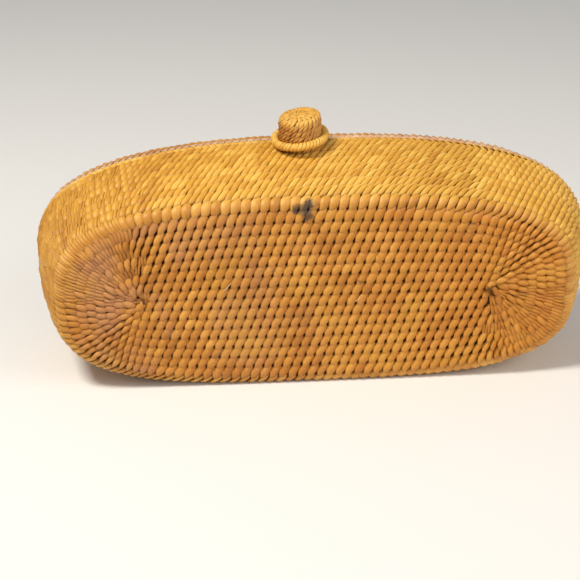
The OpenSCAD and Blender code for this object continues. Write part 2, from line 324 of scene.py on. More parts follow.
def rattan(name, dark, mid, light, rough=0.42, patch=1.0, stain=False, fade=None, spots=False, drift=0.0, tip_painted_shade=0.40):
    """Split rattan: each strip has its own tone and fibre streaks along it, with painted shade darkening its edges and
    ends in the crevices.
    """
    mat, nt, bs = nodes_of(name)
    tone = add(nt, "ShaderNodeAttribute", attribute_name="tone").outputs["Fac"]
    at = add(nt, "ShaderNodeAttribute", attribute_name="strip").outputs["Vector"]
    sep = add(nt, "ShaderNodeSeparateXYZ")
    nt.links.new(at, sep.inputs[0])
    pos = add(nt, "ShaderNodeTexCoord").outputs["Object"]
    # fibre streaks: fine across the strip, long along it
    comb = add(nt, "ShaderNodeCombineXYZ")
    nt.links.new(math_node(nt, "MULTIPLY", sep.outputs[0], 2.6), comb.inputs[0])
    nt.links.new(math_node(nt, "MULTIPLY", sep.outputs[1], 0.35), comb.inputs[1])
    nt.links.new(math_node(nt, "MULTIPLY", tone, 61.0), comb.inputs[2])
    streak = noise(nt, comb.outputs[0], 3.0, 3.0, 0.6)
    patches = noise(nt, pos, 38.0, 3.0, 0.55)
    fine = noise(nt, pos, 900.0, 2.0, 0.6)
    f = math_node(nt, "ADD", math_node(nt, "MULTIPLY", tone, 0.28),
                  math_node(nt, "ADD", math_node(nt, "MULTIPLY", streak, 0.44), math_node(nt, "MULTIPLY", patches, 0.40 * patch)))
    f = math_node(nt, "ADD", f, math_node(nt, "MULTIPLY", fine, 0.08))
    # painted light: adds the painted highlight and shade stored on each strip
    f = math_node(nt, "ADD", f, math_node(nt, "MULTIPLY", add(nt, "ShaderNodeAttribute", attribute_name="painted_light").outputs["Fac"], 1.0))
    if drift:
        px = add(nt, "ShaderNodeSeparateXYZ")
        nt.links.new(pos, px.inputs[0])
        f = math_node(nt, "ADD", f, math_node(nt, "MULTIPLY", px.outputs[0], drift))
        f = math_node(nt, "ADD", f, math_node(nt, "MULTIPLY", math_node(nt, "MULTIPLY", px.outputs[0], px.outputs[0]), -8.0))
    col = ramp(nt, f, [(0.30, dark), (0.56, mid), (0.86, light)])
    # with fade, each strip keeps these colours at its outer end and turns to the fade colours at its inner end: the
    # change from the band's colour to the face's, with painted light on the outer end, which faces up along the top
    # edge
    if fade:
        col = mix(nt, ramp(nt, math_node(nt, "ADD", math_node(nt, "MULTIPLY", sep.outputs[1], 0.5), 0.5), [(0.42, (0.9,) * 3), (0.95, (0.2, 0.2, 0.2))]), col,
                  ramp(nt, f, [(0.30, fade[0]), (0.56, fade[1]), (0.86, fade[2])]))
    if stain:
        sp = add(nt, "ShaderNodeSeparateXYZ")
        nt.links.new(pos, sp.inputs[0])
        left = add(nt, "ShaderNodeMapRange")
        left.inputs["From Min"].default_value = 0.02
        left.inputs["From Max"].default_value = -0.07
        nt.links.new(sp.outputs[0], left.inputs["Value"])
        cloud = ramp(nt, noise(nt, pos, 55.0, 3.0, 0.6), [(0.42, (0, 0, 0)), (0.62, (1, 1, 1))])
        col = mix(nt, math_node(nt, "MULTIPLY", math_node(nt, "MULTIPLY", left.outputs[0], cloud), 0.55), col, (0.46, 0.215, 0.105))
        right = add(nt, "ShaderNodeMapRange")
        right.inputs["From Min"].default_value = -0.01
        right.inputs["From Max"].default_value = 0.09
        nt.links.new(sp.outputs[0], right.inputs["Value"])
        col = mix(nt, math_node(nt, "MULTIPLY", right.outputs[0], 0.35), col, (0.60, 0.205, 0.010))
        glow = ramp(nt, noise(nt, pos, 47.0, 2.0, 0.5), [(0.52, (0, 0, 0)), (0.66, (1, 1, 1))])
        col = mix(nt, math_node(nt, "MULTIPLY", glow, 0.35), col, (0.64, 0.33, 0.035))
    # painted shade: the colour darkens towards each strip's side edges and, more strongly, towards its ends, where it
    # dives into the crevices
    edge = math_node(nt, "POWER", math_node(nt, "ABSOLUTE", sep.outputs[0]), 5.0)
    tip = math_node(nt, "POWER", math_node(nt, "ABSOLUTE", sep.outputs[1]), 5.0)
    shade = math_node(nt, "MAXIMUM", math_node(nt, "MULTIPLY", edge, 0.10), math_node(nt, "MULTIPLY", tip, tip_painted_shade))
    col = mix(nt, shade, col, tuple(c * 0.45 for c in dark))
    # the underside of a strip is painted darker: painted shade
    col = mix(nt, math_node(nt, "SUBTRACT", 1.0, sep.outputs[2]), col, mix(nt, 0.6, col, tuple(c * 0.25 for c in dark)))
    if stain or spots:
        for (x, y, z, r_, amt) in ((-0.0030, Y_FACE * MM, 0.0762, 0.0034, 0.92), (-0.0032, Y_FACE * MM, 0.0722, 0.0028, 0.88), (-0.0070, Y_FACE * MM, 0.0748, 0.0028, 0.86),
                                   (-0.016, Y_FACE * MM, 0.0505, 0.0014, 0.6), (0.017, Y_FACE * MM, 0.0445, 0.0016, 0.55),
                                   (-0.040, Y_FACE * MM, 0.0140, 0.0020, 0.4), (0.060, Y_FACE * MM, 0.066, 0.0020, 0.5)):
            d = add(nt, "ShaderNodeVectorMath", operation="DISTANCE")
            warp = add(nt, "ShaderNodeVectorMath", operation="ADD")
            nt.links.new(pos, warp.inputs[0])
            nz = add(nt, "ShaderNodeTexNoise")
            nz.inputs["Scale"].default_value = 420.0
            nt.links.new(pos, nz.inputs["Vector"])
            sc = add(nt, "ShaderNodeVectorMath", operation="SCALE")
            nt.links.new(nz.outputs[1], sc.inputs[0])
            sc.inputs["Scale"].default_value = 0.0045
            nt.links.new(sc.outputs[0], warp.inputs[1])
            nt.links.new(warp.outputs[0], d.inputs[0])
            d.inputs[1].default_value = (x + 0.00225, y + 0.00225, z + 0.00225)
            k = ramp(nt, math_node(nt, "DIVIDE", d.outputs["Value"], r_), [(0.5, (amt,) * 3), (1.0, (0, 0, 0))])
            col = mix(nt, k, col, (0.045, 0.03, 0.02))
    nt.links.new(col, bs.inputs["Base Color"])
    bs.inputs["Specular IOR Level"].default_value = 0.42
    nt.links.new(ramp(nt, streak, [(0.25, (rough + 0.12,) * 3), (0.8, (rough - 0.06,) * 3)]), bs.inputs["Roughness"])
    bump = add(nt, "ShaderNodeBump")
    bump.inputs["Strength"].default_value = 0.5
    bump.inputs["Distance"].default_value = 0.00018
    nt.links.new(streak, bump.inputs["Height"])
    nt.links.new(bump.outputs[0], bs.inputs["Normal"])
    return mat


def plain_rattan(name, dark, mid, rough=0.75, scale=900.0):
    mat, nt, bs = nodes_of(name)
    pos = add(nt, "ShaderNodeTexCoord").outputs["Object"]
    n = noise(nt, pos, scale, 4.0, 0.6)
    nt.links.new(ramp(nt, n, [(0.3, dark), (0.7, mid)]), bs.inputs["Base Color"])
    bs.inputs["Roughness"].default_value = rough
    bump = add(nt, "ShaderNodeBump")
    bump.inputs["Strength"].default_value = 0.5
    bump.inputs["Distance"].default_value = 0.0002
    nt.links.new(n, bump.inputs["Height"])
    nt.links.new(bump.outputs[0], bs.inputs["Normal"])
    return mat


GOLD_D, GOLD_M, GOLD_L = (0.42, 0.165, 0.013), (0.68, 0.35, 0.044), (0.88, 0.58, 0.13)
BROWN_D, BROWN_M, BROWN_L = (0.28, 0.096, 0.014), (0.47, 0.195, 0.033), (0.71, 0.37, 0.085)
m_face = rattan("rattan_face", (0.27, 0.086, 0.009), (0.49, 0.183, 0.017), (0.76, 0.375, 0.065), stain=True, tip_painted_shade=0.75)
# the crease row fades from the band's gold at its outer end, towards the band, to these face colours at its inner end:
# the change of colour between band and face, with painted light on the outer end
FACE_C = ((0.30, 0.105, 0.013), (0.52, 0.21, 0.026), (0.74, 0.39, 0.085))
m_crease = rattan("rattan_crease", GOLD_D, GOLD_M, GOLD_L, fade=FACE_C, spots=True, tip_painted_shade=0.55)
# painted light: the knob's top gets a lighter, more golden copy of the knob's rattan, standing in for the light on its
# up-facing top
m_knob_top_painted_light = rattan("rattan_knob_top_painted_light", (0.40, 0.155, 0.013), (0.64, 0.32, 0.045), (0.80, 0.48, 0.11), tip_painted_shade=0.75)
m_side = rattan("rattan_side", GOLD_D, GOLD_M, GOLD_L, drift=0.6, tip_painted_shade=0.55)
m_back = rattan("rattan_back", (0.36, 0.13, 0.018), (0.58, 0.25, 0.04), (0.78, 0.42, 0.095))
m_knob = rattan("rattan_knob", BROWN_D, BROWN_M, BROWN_L)
m_loop = rattan("rattan_loop", GOLD_D, GOLD_M, GOLD_L)
# painted shade: the coils under the stitches are coloured near black on the front half and dark brown on the back half,
# standing in for the shade in the holes between stitches
m_coil_painted_shade = plain_rattan("rattan_foundation_painted_shade", (0.03, 0.009, 0.002), (0.09, 0.030, 0.006))
m_coil_back_painted_shade = plain_rattan("rattan_foundation_back_painted_shade", (0.12, 0.042, 0.008), (0.26, 0.10, 0.02))

# ------------------------------------------------------------------ weave of the front half
PITCH_F, PITCH_W = 3.78, 2.8


def weave(surf, turn, rows, pitch, end_pitch, L, mode, sink=None):
    """Adds the stitches of some rows. mode is face, crease or side."""
    for k in rows:
        lat = 0.46 if mode != "side" else 0.80
        tt, pp = row_places(surf, k, turn, pitch, end_pitch, lat * (k - 0.5) + 0.26, 66)
        n = len(tt)
        pos = surf(tt, k)
        x, z = pos[:, 0], pos[:, 2]
        zc = FACE_H / 2 if surf is front else MOUTH_Z + MOUTH_H / 2
        endk = smooth(np.abs(x), 60, 78)
        fwd_half = np.sign(x) * np.sign(z - zc) * (1 if turn < 0 else -1)      # +1 entering an end, -1 leaving it
        j = RNG.normal(0, 1, (6, n))
        if mode == "side":
            w = pp * (1.17 - 0.07 * endk + 0.04 * j[0])
            ln = 1.28 + 0.05 * j[1]
            lean = pitch * 1.28 * (1 - 0.6 * endk) * (1 + 0.07 * j[2])
            slant = 0.9 * (1 - endk)
            crown, snk, th, arch, taper, roll = 0.06 + 0.12 * endk + 0.09 * j[3], 0.50 + 0.45 * endk, 0.95 + 0.1 * endk, 0.72, 0.18, 0.10
        elif mode == "crease":
            w = pp * (1.17 - 0.03 * endk + 0.03 * j[0])
            ln = 1.12 + 0.03 * j[1]
            lean = (0.45 * smooth(-x, -20, 40) + 0.05) * pitch * (1 - endk) * (1 + 0.1 * j[2])
            slant = 2.0 * (1 - 0.5 * endk)
            crown, snk, th, arch, taper, roll = 0.0 + 0.06 * j[3], 1.1, 0.9, 0.60, 0.24, 0.14
        else:
            w = pp * (1.28 - 0.20 * endk + 0.03 * j[0])
            ln = 1.26 + 0.24 * endk + 0.03 * j[1]
            lean = (0.06 * pitch - 0.2 * endk) + 0.16 * j[2]
            slant = 3.1 * (1 - 0.25 * endk) + 0.25 * j[4]
            crown, snk, th, arch, taper, roll = 0.10 + 0.25 * endk + 0.09 * j[3], 1.05, 1.0 + 0.2 * endk, 0.60, 0.17, 0.16
        peak = 0.38
        tone = np.clip(0.5 + (0.17 if mode != "side" else 0.24 - 0.15 * endk) * j[5], 0, 1)
        split = (fwd_half < 0) & (RNG.random(n) < (0.85 if mode != "side" else 0.8) * smooth(np.abs(x), 62, 86 if mode != "side" else 100))
        keep = ~split
        g = lambda q, msk: (np.broadcast_to(q, (n,))[msk])
        L.add(surf, turn, tt[keep], np.full(keep.sum(), k), g(w, keep), g(ln, keep), g(lean, keep), g(slant, keep),
              g(crown, keep), g(snk, keep), g(th, keep), tone[keep], curl=0.1 * j[4][keep], arch=arch, taper=taper, roll=roll, peak=peak)
        if split.any():
            idx = np.nonzero(split)[0]
            parts = np.where(pp[idx] > 3.0, 3, 2)
            for q in range(3):
                sel = idx[parts > q]
                if not len(sel):
                    continue
                pn = parts[parts > q]
                off = (q - (pn - 1) / 2) / pn * pp[sel]
                # a step along the row, in t
                d = 1e-3
                speed = np.linalg.norm(surf(tt[sel] + d, k) - surf(tt[sel] - d, k), axis=1) / (2 * d)
                jj = RNG.normal(0, 1, (4, len(sel)))
                L.add(surf, turn, tt[sel] + turn * off / np.maximum(speed, 1), np.full(len(sel), k) + 0.05 * jj[0],
                      pp[sel] / pn * (1.12 + 0.05 * jj[1]), g(ln, split)[parts > q] * 1.06, g(lean, split)[parts > q] + 0.25 * jj[2], 0.3,
                      np.broadcast_to(crown, (n,))[sel] - 0.05 + 0.07 * jj[3], g(snk, split)[parts > q] * 0.6, 0.60, np.clip(tone[sel] + 0.14 * jj[1] - 0.06, 0, 1), arch=arch)


face = Strips()
weave(front, -1, np.arange(0.5, 8), PITCH_F, 2.75, face, "face")
face.build("front_face_weave", "front_half", m_face, "front_weave")
crease = Strips()
weave(front, -1, [8.5], PITCH_F, 2.8, crease, "crease")
crease.build("front_crease_weave", "front_half", m_crease, "front_weave")
for side_name, side_rows in (("front_side_weave_lower", np.arange(9.5, 13)), ("front_side_weave_upper", np.arange(13.5, 17))):
    side = Strips()
    weave(front, -1, side_rows, PITCH_W, 2.7, side, "side")
    side.build(side_name, "front_half", m_side, "front_weave")

bface = Strips()
weave(back, 1, np.arange(0.5, 7), PITCH_F, 3.1, bface, "face")
bface.build("back_face_weave", "back_half", m_back, "back_weave")
bside = Strips()
weave(back, 1, [7.5, 8.5, 9.5], PITCH_W, 2.9, bside, "side")
bside.build("back_side_weave", "back_half", m_back, "back_weave")


# ------------------------------------------------------------------ coils under the stitches
def grid_shell(name, surf, turn, vs, depth, body, material, slot, node, n=360, inner=3.4, ridge=0.9, base=1.55):
    """A closed shell: ridged outside under the stitches, smooth inside."""
    t = np.linspace(0, 2 * math.pi, n, endpoint=False)
    rings = []
    for v in vs:
        p, T, O, U = frames(surf, t, np.full(n, v), turn)
        h = -base + ridge * (np.cos((v - 0.5 - round(v - 0.5)) * math.pi)) ** 0.8
        rings.append(p + h * U)
    for v in vs[::-1][::3]:
        p, T, O, U = frames(surf, t, np.full(n, v), turn)
        rings.append(p - inner * U)
    pts = np.concatenate(rings)
    m_ = len(rings)
    k = np.arange(m_ - 1)[:, None]
    i = np.arange(n)[None]
    j = (i + 1) % n
    q = np.stack([k * n + i + 0 * j, k * n + j, (k + 1) * n + j, (k + 1) * n + i + 0 * j], -1)
    if turn > 0:
        q = q[..., ::-1]
    return pts, q.reshape(-1), m_


def case_shell(name, surf, turn, kmax, body, slot, node):
    n = 360
    vs = [0.05] + list(np.arange(0.5, kmax + 0.01, 0.125))
    pts, quads, m_ = grid_shell(name, surf, turn, vs, 0, body, m_coil_painted_shade, slot, node, n)
    cap0 = np.arange(n) if turn < 0 else np.arange(n)[::-1]
    capi = (m_ - 1) * n + (np.arange(n)[::-1] if turn < 0 else np.arange(n))
    loops = np.concatenate([quads, cap0[::-1], capi[::-1]])
    starts = np.concatenate([np.arange(0, len(quads), 4), [len(quads), len(quads) + n]])
    # the coil shell takes the dark painted-shade colour
    ob = make_object(name, pts, loops, starts, body, m_coil_painted_shade if turn < 0 else m_coil_back_painted_shade)
    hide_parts(node)
    return ob


case_shell("front_coils", front, -1, KW + 0.0, "front_half", "front_weave", "front_shell")
case_shell("back_coils", back, 1, KR + 0.0, "back_half", "back_weave", "back_shell")

# ------------------------------------------------------------------ closed wraps: rims, loop, lashing, eyes
def wraps(name, P, N, w, th, tone, body, material, K=8):
    """Strips that go all the way round something. P and N are (n, M, 3): the path's points and outward normals in mm."""
    n, M = P.shape[:2]
    D = unit(np.roll(P, -1, 1) - np.roll(P, 1, 1))
    S = unit(np.cross(N, D))
    ps = np.arange(K) * 2 * math.pi / K
    aa = np.cos(ps)
    cc = np.where(np.sin(ps) > 1e-6, 1 - np.abs(aa) ** 1.8, np.where(np.sin(ps) < -1e-6, -0.8, 0.0))
    w = np.broadcast_to(np.asarray(w, float), (n,))[:, None, None, None]
    V = P[:, :, None] + S[:, :, None] * (aa[None, None, :, None] * w / 2) + N[:, :, None] * (cc[None, None, :, None] * th)
    at = np.zeros((n, M, K, 3))
    at[..., 0] = aa
    at[..., 1] = 0.35 * np.sin(np.arange(M) * 2 * math.pi / M)[None, :, None]
    # 1 on the wrap's outer side and 0 on its underside, which the material paints darker as painted shade
    at[..., 2] = (cc > -0.1)
    i = np.arange(M)[:, None]
    k = np.arange(K)[None]
    q = np.stack([i * K + k, i * K + (k + 1) % K, (i + 1) % M * K + (k + 1) % K, (i + 1) % M * K + k + 0 * i], -1).reshape(-1)
    loops = (q[None] + np.arange(n)[:, None] * M * K).ravel()
    # keep the outside outwards
    p0, p1, p2 = (V[0].reshape(-1, 3)[q[c]] for c in (0, 1, 2))
    quads = q.reshape(-1, 4)
    cen = V[0].reshape(-1, 3)[quads].mean(1)
    nrm = np.cross(V[0].reshape(-1, 3)[quads[:, 1]] - V[0].reshape(-1, 3)[quads[:, 0]], V[0].reshape(-1, 3)[quads[:, 2]] - V[0].reshape(-1, 3)[quads[:, 0]])
    axis_pt = P[0][np.repeat(np.arange(M), K)]
    if (nrm * (cen - axis_pt)).sum() < 0:
        loops = loops.reshape(-1, 4)[:, ::-1].ravel()
    tone = np.repeat(np.broadcast_to(np.asarray(tone, float), (n,))[:, None], M * K, 1)
    ob = make_object(name, V.reshape(-1, 3), loops, np.arange(0, len(loops), 4), body, material,
                     attrs={"strip": at.reshape(-1, 3), "tone": tone.ravel()})
    print(name, n, "wraps", n * M * K * 2, "triangles")
    return ob


def closed_grid(name, G, body, material, flip=False):
    """A ring-shaped solid from a (rings, points, 3) grid that closes both ways."""
    m_, n = G.shape[:2]
    i = np.arange(m_)[:, None]
    k = np.arange(n)[None]
    q = np.stack([i * n + k, i * n + (k + 1) % n, (i + 1) % m_ * n + (k + 1) % n, (i + 1) % m_ * n + k + 0 * i], -1)
    if flip:
        q = q[..., ::-1]
    return make_object(name, G.reshape(-1, 3), q.reshape(-1), np.arange(0, q.size, 4), body, material)


def rim_pt(t, phi, rad, back_side):
    """A point of a rim coil: phi 0 is outside, a quarter turn on is the mouth side."""
    t, phi, rad = np.broadcast_arrays(np.asarray(t, float), np.asarray(phi, float), np.asarray(rad, float))
    sg = 1.0
    q1 = 1.9 + rad * np.sin(phi)
    inset = 1.76 - rad * np.cos(phi)
    if back_side:
        y = Y_MOUTH + RIM_W - q1
        x, z = outline(station(1.0), inset + 0.9 * (1 - q1 / RIM_W), t)
    else:
        y = Y_MOUTH - RIM_W + q1
        x, z = outline(station((y - Y_FACE) / FRONT_D), inset, t)
    return np.stack([x, y, z], -1)


def rim(name, back_side, body, material, node, pitch, sg):
    t = np.linspace(0, 2 * math.pi, 2001)
    p = rim_pt(t, 0.0, 1.8, back_side)
    sl = np.concatenate([[0], np.cumsum(np.linalg.norm(np.diff(p, axis=0), axis=1))])
    n = int(sl[-1] / pitch)
    M = 14
    phi = np.arange(M) * 2 * math.pi / M
    s_at = (np.arange(n)[:, None] + 0.5) / n * sl[-1] + sg * 1.5 * np.sin(phi)[None] + RNG.normal(0, 0.08, (n, 1))
    tt = np.interp(s_at % sl[-1], sl, t)
    ph = np.broadcast_to(phi, tt.shape)
    P = rim_pt(tt, ph, 1.70, back_side)
    N = unit(rim_pt(tt, ph, 1.85, back_side) - P)
    j = RNG.normal(0, 1, (2, n))
    ob = wraps(name + "_wraps", P, N, pitch * (1.16 + 0.04 * j[0]), 0.34, np.clip(0.5 + 0.2 * j[1], 0, 1), body, material)
    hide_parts(node)
    tc = np.linspace(0, 2 * math.pi, 300, endpoint=False)
    pc = np.arange(10) * 2 * math.pi / 10
    G = rim_pt(tc[:, None], pc[None], 1.60, back_side)
    # the rim's coil under the wraps is coloured near black as painted shade
    return closed_grid(name + "_coil", G, body, m_coil_painted_shade, flip=back_side)


m_rim = rattan("rattan_rim", GOLD_D, GOLD_M, GOLD_L)
m_rim_back = rattan("rattan_rim_back", (0.36, 0.17, 0.08), (0.56, 0.33, 0.19), (0.74, 0.52, 0.36))
rim("front_rim", False, "front_half", m_rim, "front_rim", 2.9, 1)
rim("back_rim", True, "back_half", m_rim_back, "back_rim", 2.9, 1)

# knob and loop frames, as in the CAD model
X_K, Y_K, Z_TOP, Z_K = -4.0, 5.4, 87.6371, 87.9974
KNOB_TILT, LOOP_TILT = math.radians(4.0), math.radians(1.5)
LOOP_R, LOOP_Z, LOOP_LEN = 9.9, 3.9, 2.2
LOOP_ROLL = math.radians(6.0)


def placed(P, tilt, z0):
    c, q = math.cos(tilt), math.sin(tilt)
    x, y, z = P[..., 0], P[..., 1], P[..., 2]
    return np.stack([x + X_K, c * y - q * z + Y_K, q * y + c * z + z0], -1)


K_PROF = np.array([[0, 13.6], [5.8, 13.5], [7.2, 13.1], [7.95, 12.1], [8.1, 10.5], [8.05, 6], [7.9, 3], [7.7, 0.35]], float)
K_S = np.concatenate([[0], np.cumsum(np.hypot(*np.diff(K_PROF, axis=0).T))])
K_ROWS = 9.0


def knob_pt(t, v, inset=0.0):
    t, v = np.broadcast_arrays(np.asarray(t, float), np.asarray(v, float))
    sv = np.clip(v / K_ROWS, 0.002, 1.04) * K_S[-1]
    r_ = np.interp(sv, K_S, K_PROF[:, 0]) - inset * smooth(sv, 3, 7)
    z = np.interp(sv, K_S, K_PROF[:, 1]) - np.clip(sv - K_S[-1], 0, 9) - inset * (1 - smooth(sv, 3, 9))
    ecc = (1 - smooth(sv, 0.0, 7.0))
    x = r_ * np.cos(t) - 1.2 * ecc
    y = r_ * np.sin(t) - 1.6 * ecc
    z = z + x * 0.11 * smooth(z, 4, 13) + 0.35 * (1 - (r_ / 8.1) ** 2)
    return placed(np.stack([x, y, z], -1), KNOB_TILT, Z_K)


knob, knob_top = Strips(), Strips()
for row, n, lean, ln, th in ((0.95, 11, 0.2, 2.0, 0.42), (2.35, 19, 0.3, 1.75, 0.46), (3.55, 26, 1.3, 1.5, 0.50),
                             (4.5, 27, 2.0, 1.30, 0.52), (5.5, 27, 2.0, 1.30, 0.52), (6.5, 27, 2.0, 1.30, 0.52), (7.5, 27, 2.0, 1.30, 0.52), (8.5, 27, 1.9, 1.1, 0.50)):
    tt = (np.arange(n) + 0.5 * row + RNG.normal(0, 0.06, n)) * 2 * math.pi / n
    rr = np.interp(row / K_ROWS * K_S[-1], K_S, K_PROF[:, 0])
    j = RNG.normal(0, 1, (4, n))
    # painted light and shade: the top rows get a lighter tone, and the side rows are painted lighter on the knob's
    # right and darker on its left
    shade = 0.62 if row < 4 else 0.36 + 0.34 * np.clip(np.cos(tt + 0.2), -1, 1)
    (knob_top if row < 4 else knob).add(knob_pt, -1, tt, np.full(n, row), 2 * math.pi * max(rr, 2.4) / n * (1.08 + 0.05 * j[0]), ln, lean * (1 + 0.08 * j[1]), 0.25,
                                        0.04 + 0.05 * j[2], 0.30, th, np.clip(shade + 0.14 * j[3], 0, 1), arch=0.8, taper=0.25, roll=0.06)
ob = knob.build("knob_side_weave", "front_half", m_knob, "knob_weave")
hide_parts("knob_cover")
knob_top.build("knob_top_weave", "front_half", m_knob_top_painted_light, "knob_weave")
tk = np.linspace(0, 2 * math.pi, 96, endpoint=False)
rings = [knob_pt(tk, np.full(96, v), 0.6) for v in (0.5, 1.5, 2.4, 3.1, 3.9, 4.8, 6, 7.5, 9)]
K_pts = np.concatenate(rings)
i = np.arange(8)[:, None]
k = np.arange(96)[None]
q = np.stack([i * 96 + k, (i + 1) * 96 + k, (i + 1) * 96 + (k + 1) % 96, i * 96 + (k + 1) % 96], -1).reshape(-1)
q = np.concatenate([q, np.arange(96), 8 * 96 + np.arange(96)[::-1]])
# painted shade: a dark brown drum just under the knob's stitches, standing in for the shade seen through the gaps
# between them
make_object("knob_drum", K_pts, q, np.concatenate([np.arange(0, 8 * 96 * 4, 4), [8 * 96 * 4, 8 * 96 * 4 + 96]]), "front_half",
            plain_rattan("knob_under_painted_shade", (0.10, 0.035, 0.008), (0.2, 0.075, 0.015)))


def loop_path(sv):
    """Centre line of the loop, outward direction there, and its length: two half circles joined by short straights."""
    half = math.pi * LOOP_R
    total = 2 * half + 2 * LOOP_LEN
    sv = np.asarray(sv, float) % total
    a1 = math.pi + sv / LOOP_R                                   # the front half circle, from left to right
    a3 = (sv - half - LOOP_LEN) / LOOP_R                         # the back half circle, from right to left
    c1, c3 = sv < half, (sv >= half + LOOP_LEN) & (sv < 2 * half + LOOP_LEN)
    c2 = (sv >= half) & (sv < half + LOOP_LEN)
    d2, d4 = sv - half, sv - 2 * half - LOOP_LEN
    x = np.where(c1, LOOP_R * np.cos(a1), np.where(c2, LOOP_R, np.where(c3, LOOP_R * np.cos(a3), -LOOP_R)))
    y = np.where(c1, LOOP_R * np.sin(a1), np.where(c2, d2, np.where(c3, LOOP_LEN + LOOP_R * np.sin(a3), LOOP_LEN - d4)))
    ox = np.where(c1, np.cos(a1), np.where(c2, 1, np.where(c3, np.cos(a3), -1)))
    oy = np.where(c1, np.sin(a1), np.where(c2 | ~(c1 | c2 | c3), 0, np.sin(a3)))
    return np.stack([x, y, 0 * x], -1), np.stack([ox, oy, 0 * x], -1), total


n = 47
M = 14
phi = np.arange(M) * 2 * math.pi / M
total = loop_path(0.0)[2]
sv = (np.arange(n)[:, None] + 0.5) / n * total + 0.7 * np.sin(phi)[None] + RNG.normal(0, 0.05, (n, 1))
C, OUT, _ = loop_path(sv)
N_ = np.cos(phi)[None, :, None] * OUT + np.sin(phi)[None, :, None] * np.array([0, 0, 1.0])


def in_loop(P):
    c, q_ = math.cos(LOOP_ROLL), math.sin(LOOP_ROLL)
    P = np.stack([P[..., 0] * c - P[..., 2] * q_, P[..., 1], P[..., 0] * q_ + P[..., 2] * c + LOOP_Z], -1)
    return placed(P, LOOP_TILT, Z_TOP)


P_ = in_loop(C + 1.28 * N_)
N_ = unit(in_loop(C + 1.5 * N_) - P_)
j = RNG.normal(0, 1, (2, n))
ob = wraps("loop_wraps", P_, N_, total / n * (1.0 + 0.05 * j[0]), 0.42, np.clip(0.66 + 0.2 * j[1], 0, 1), "closure_loop", m_loop)
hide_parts("closure_loop_wrap")

# lashing: three turns round the back bar of the loop and through the rim of the back half
yl = LOOP_R + LOOP_LEN
M = 20
phi = np.arange(M) * 2 * math.pi / M
cz = np.where(np.sin(phi) >= -1e-6, LOOP_Z, LOOP_Z - 3.5)
xs = np.array([-1.05, 0.0, 1.05])
PL = np.stack([xs[:, None] + 0.25 * np.sin(phi)[None], yl + 1.95 * np.cos(phi)[None] + 0 * xs[:, None], cz[None] + 1.95 * np.sin(phi)[None] + 0 * xs[:, None]], -1)
NL = np.broadcast_to(np.stack([0 * phi, np.cos(phi), np.sin(phi)], -1)[None], PL.shape)
P_ = placed(PL, LOOP_TILT, Z_TOP)
N_ = unit(placed(PL + 0.2 * NL, LOOP_TILT, Z_TOP) - P_)
ob = wraps("lashing_turns", P_, N_, 1.15, 0.30, np.array([0.4, 0.6, 0.5]), "back_half", m_loop)
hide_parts("loop_lashing")

# hinge eyes: turns of strip over each eye
EYE_R, EYE_W, H_PITCH = 1.95, 3.2, 42.0
for nm, body, slot_, xs in (("hinge_front_turns", "front_half", "hinge_front_strip", [x + q_ * (EYE_W + 0.25) for x in (-H_PITCH, 0, H_PITCH) for q_ in (-1, 1)]),
                            ("hinge_back_turns", "back_half", "hinge_back_strip", [-H_PITCH, 0.0, H_PITCH])):
    xx = np.array([x + d_ for x in xs for d_ in (-1.05, 0.0, 1.05)])
    PL = np.stack([xx[:, None] + 0.2 * np.sin(phi)[None], Y_MOUTH + 1.78 * np.cos(phi)[None] + 0 * xx[:, None], EYE_R + 1.78 * np.sin(phi)[None] + 0 * xx[:, None]], -1)
    NL = np.broadcast_to(np.stack([0 * phi, np.cos(phi), np.sin(phi)], -1)[None], PL.shape)
    wraps(nm, PL, NL, 1.0, 0.22, RNG.uniform(0.3, 0.7, len(xx)), body, m_rim)

# ------------------------------------------------------------------ cloth linings
def cloth(name, col_a, col_b):
    mat, nt, bs = nodes_of(name)
    pos = add(nt, "ShaderNodeTexCoord").outputs["Object"]
    wv = add(nt, "ShaderNodeTexWave", wave_type="BANDS", bands_direction="X")
    wv.inputs["Scale"].default_value = 620.0
    wv.inputs["Distortion"].default_value = 0.6
    wh = add(nt, "ShaderNodeTexWave", wave_type="BANDS", bands_direction="Z")
    wh.inputs["Scale"].default_value = 620.0
    wh.inputs["Distortion"].default_value = 0.6
    nt.links.new(pos, wv.inputs["Vector"])
    nt.links.new(pos, wh.inputs["Vector"])
    weave_ = math_node(nt, "MULTIPLY", wv.outputs[1], wh.outputs[1])
    f = math_node(nt, "ADD", math_node(nt, "MULTIPLY", weave_, 0.4), math_node(nt, "MULTIPLY", noise(nt, pos, 60.0, 4.0, 0.6), 0.6))
    nt.links.new(ramp(nt, f, [(0.2, col_a), (0.7, col_b)]), bs.inputs["Base Color"])
    bs.inputs["Roughness"].default_value = 0.95
    bs.inputs["Sheen Weight"].default_value = 0.3
    bump = add(nt, "ShaderNodeBump")
    bump.inputs["Strength"].default_value = 0.4
    bump.inputs["Distance"].default_value = 0.00015
    nt.links.new(weave_, bump.inputs["Height"])
    nt.links.new(bump.outputs[0], bs.inputs["Normal"])
    return mat


m_cloth = cloth("lining_cotton", (0.36, 0.25, 0.13), (0.58, 0.44, 0.27))
LN = 240
tl = np.linspace(0, 2 * math.pi, LN, endpoint=False)


def oval(st_, inset, y, squeeze=1.0):
    x, z = outline(st_, inset, tl)
    if squeeze < 1:
        bx = np.clip(x, -62, 62)
        zc = st_[2]
        x, z = bx + (x - bx) * squeeze, zc + (z - zc) * squeeze
    return np.stack([x, np.full(LN, float(y)) if np.ndim(y) == 0 else y, z], -1)


